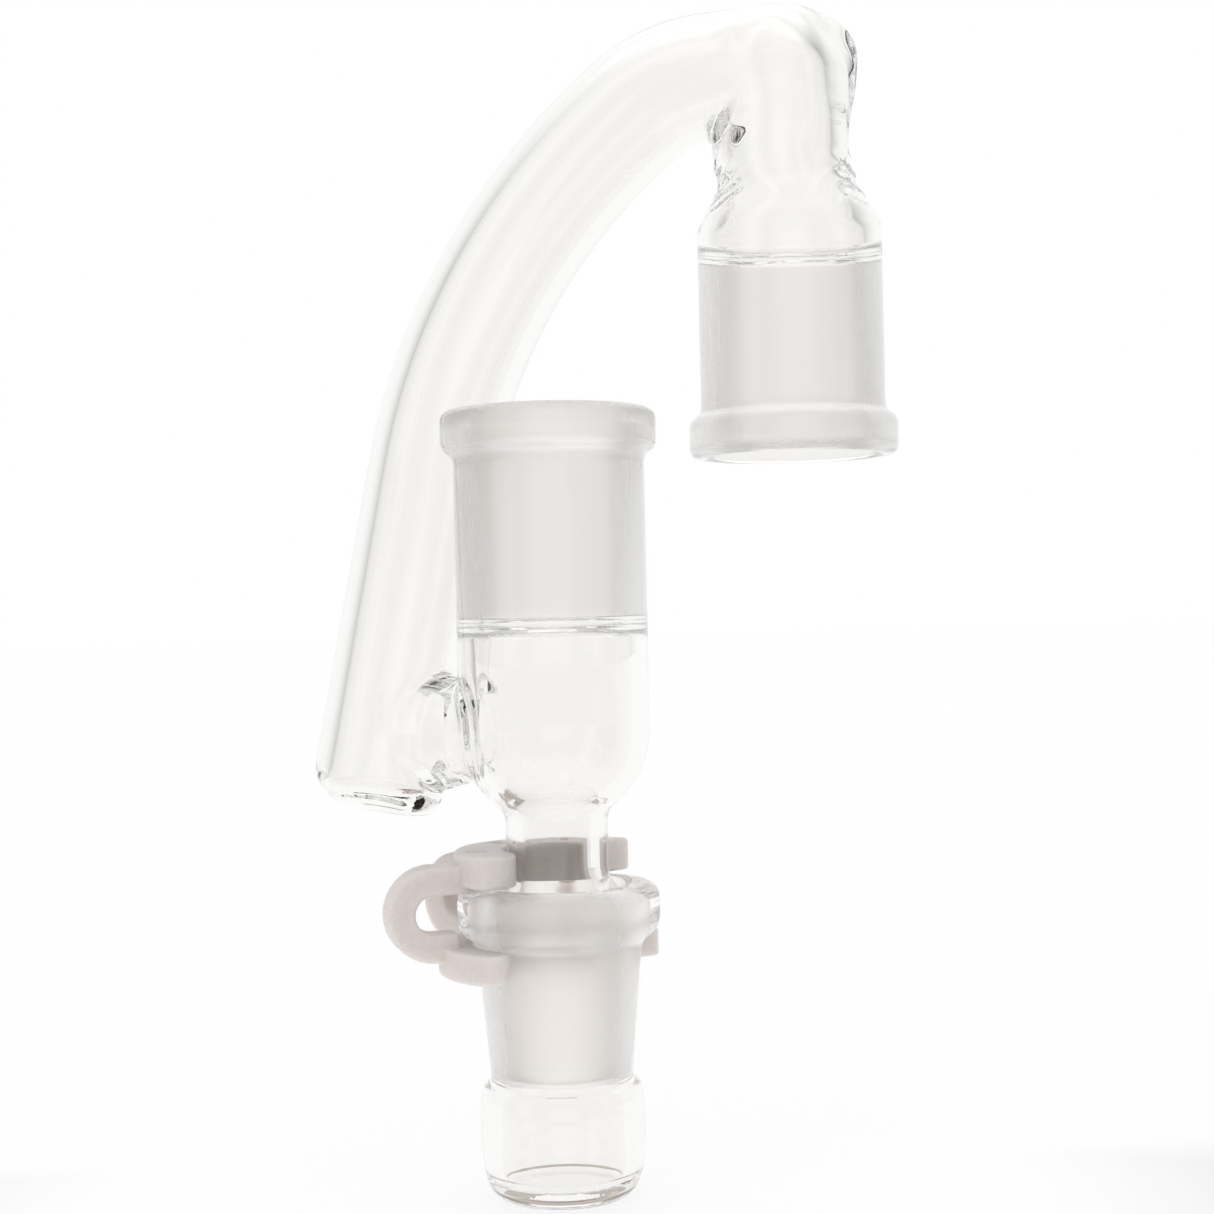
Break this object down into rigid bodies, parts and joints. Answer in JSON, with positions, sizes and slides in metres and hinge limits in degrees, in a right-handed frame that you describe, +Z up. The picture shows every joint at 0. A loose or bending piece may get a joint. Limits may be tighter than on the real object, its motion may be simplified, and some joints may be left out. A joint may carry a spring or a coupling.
{
  "type": "drop-down joint adapter",
  "caption": "Clear glass adapter: a bent arm joins a hanging ground socket to an upright socket column, over a collecting cup that a springy plastic joint clip holds on.",
  "frame": {"origin": "centre of the hanging socket's mouth, on that socket's axis, where the joint that carries the adapter enters", "axes": "+Z up along all the ground joints, +X level from the column towards the hanging socket, +Y level towards the side of the column that the arm passes"},
  "size_m": [0.0711, 0.0382, 0.1404],
  "materials": {
    "clear_glass": "clear fire-polished borosilicate glass",
    "ground_glass": "clear glass with a finely ground, frosted joint surface",
    "clip_plastic": "off-white acetal moulding, satin"
  },
  "bodies": {
    "adapter": {"upper_socket": "ground_glass", "column_bulb": "clear_glass", "male_joint": "ground_glass", "bridge_tube": "clear_glass", "arm_foot": "clear_glass", "arm_lower_bend": "clear_glass", "arm_upper_bend": "clear_glass", "crown_elbow": "clear_glass", "hanging_shoulder": "clear_glass", "hanging_socket": "ground_glass"},
    "clip": {"joint_clip": "clip_plastic"},
    "cup": {"cup_socket": "ground_glass", "cup_bowl": "clear_glass"}
  },
  "joints": [
    {"name": "clip_slide", "type": "slide", "parent": "adapter", "child": "clip", "axis": [-0.766, 0.6428, 0], "range_m": [0, 0.03]},
    {"name": "cup_drop", "type": "slide", "parent": "adapter", "child": "cup", "axis": [0, 0, -1], "range_m": [0, 0.025], "deforming": ["joint_clip"]}
  ]
}
